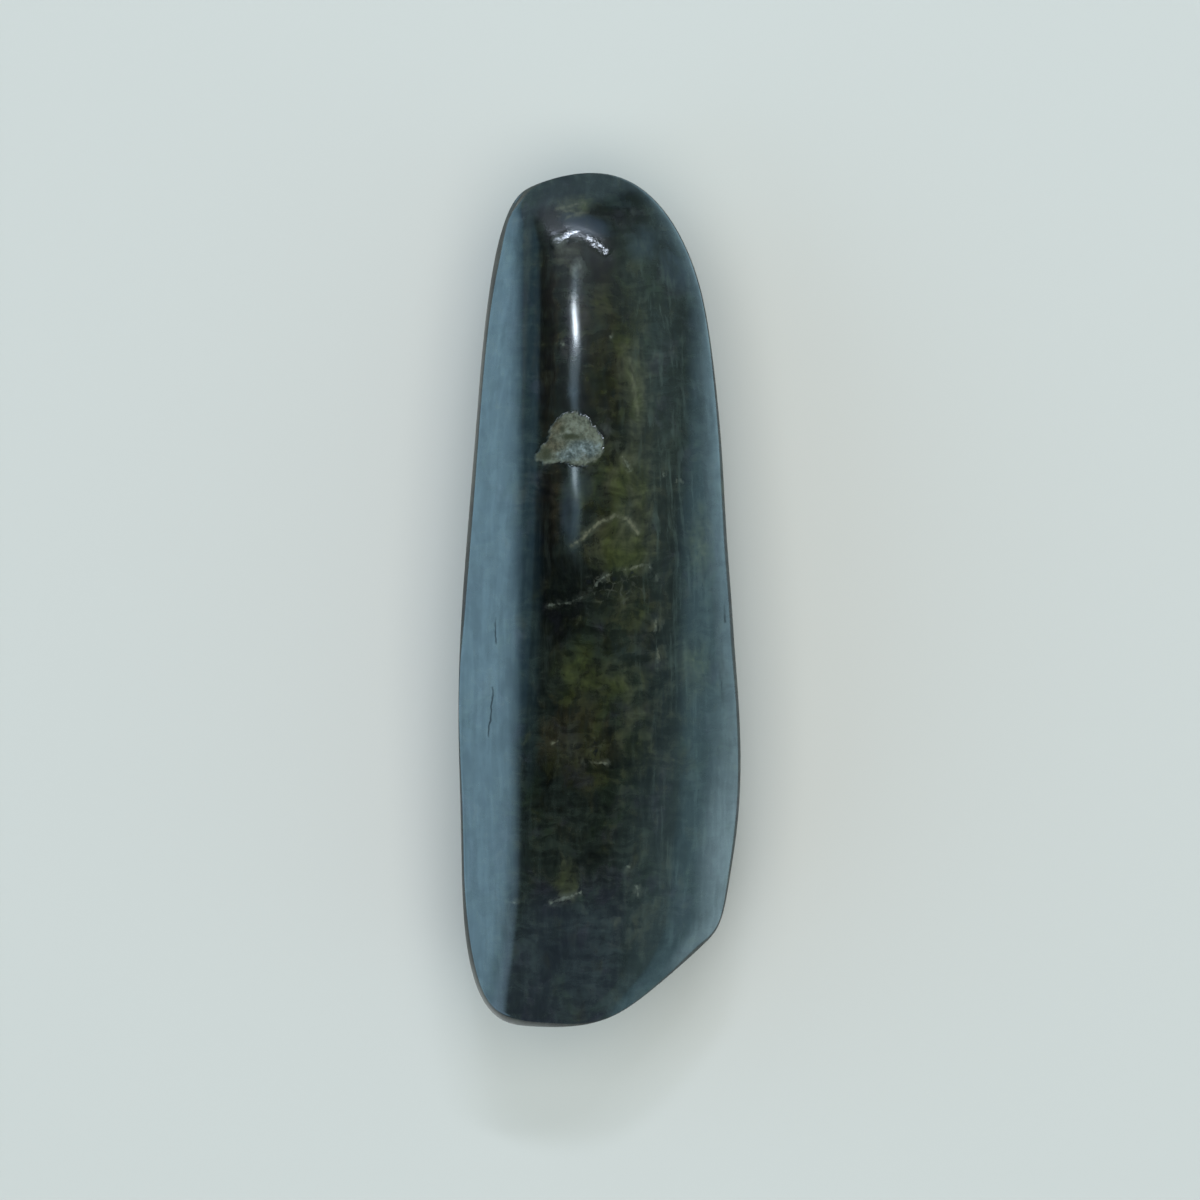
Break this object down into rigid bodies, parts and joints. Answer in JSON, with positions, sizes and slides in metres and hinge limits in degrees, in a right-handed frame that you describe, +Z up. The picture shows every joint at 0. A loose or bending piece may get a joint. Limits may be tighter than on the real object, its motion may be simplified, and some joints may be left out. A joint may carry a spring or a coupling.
{
  "type": "polished diopside stone",
  "caption": "Long polished freeform of dark green diopside with a flat ground facet, a rounded flank and a small rough pit, lying on its flat back.",
  "frame": {"origin": "middle of the flat back, on the surface that the stone lies on", "axes": "+Z up, +Y along the stone towards its narrow end, +X towards its rounded flank, -X towards the ground facet"},
  "size_m": [0.0216, 0.0655, 0.015],
  "materials": {
    "diopside": "polished"
  },
  "bodies": {
    "root": {"diopside_stone": "diopside"}
  },
  "joints": []
}
